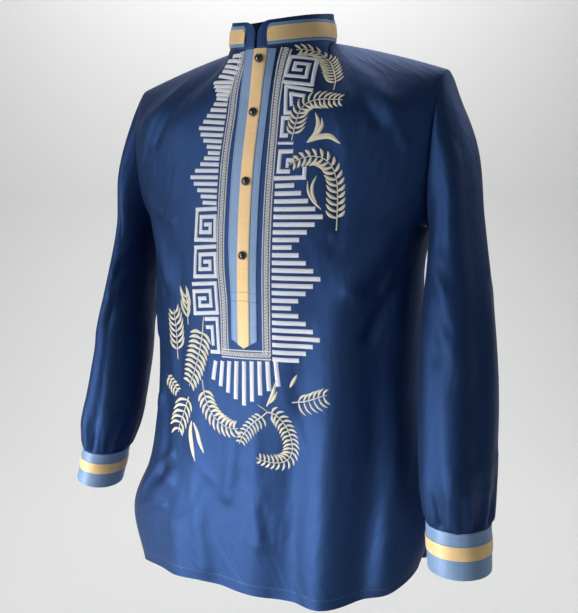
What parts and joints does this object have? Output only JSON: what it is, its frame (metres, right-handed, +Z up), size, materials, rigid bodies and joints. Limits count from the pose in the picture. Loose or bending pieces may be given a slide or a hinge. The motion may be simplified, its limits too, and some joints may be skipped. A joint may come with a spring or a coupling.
{
  "type": "barong tagalog shirt",
  "caption": "Long sleeved barong shirt with a stand collar, a buttoned half placket and striped cuffs, filled out as it is worn, hollow and open at neck, hem and cuffs.",
  "frame": {"origin": "the middle of the neck opening, near the height where the shoulder seams meet the collar, where a neck holds the shirt", "axes": "+Z up, from the hem to the collar. The front faces -Y, and the wearer's left sleeve is at +X"},
  "size_m": [0.6663, 0.2575, 0.8627],
  "materials": {
    "front": "navy satin",
    "back": "navy satin",
    "sleeve_left": "navy satin",
    "sleeve_right": "navy satin",
    "cuff_left": "light blue satin",
    "cuff_right": "light blue satin",
    "cuff_band_left": "gold ribbon",
    "cuff_band_right": "gold ribbon",
    "collar": "navy satin",
    "collar_panel": "light blue satin",
    "collar_band": "gold ribbon",
    "placket": "light blue satin",
    "placket_stripe": "gold ribbon",
    "button_1": "dark polished plastic",
    "button_2": "dark polished plastic",
    "button_3": "dark polished plastic",
    "button_4": "dark polished plastic"
  },
  "bodies": {
    "root": {"front": "front", "back": "back", "sleeve_left": "sleeve_left", "sleeve_right": "sleeve_right", "cuff_left": "cuff_left", "cuff_right": "cuff_right", "cuff_band_left": "cuff_band_left", "cuff_band_right": "cuff_band_right", "collar": "collar", "collar_panel": "collar_panel", "collar_band": "collar_band", "placket": "placket", "placket_stripe": "placket_stripe", "button_1": "button_1", "button_2": "button_2", "button_3": "button_3", "button_4": "button_4"}
  },
  "joints": []
}
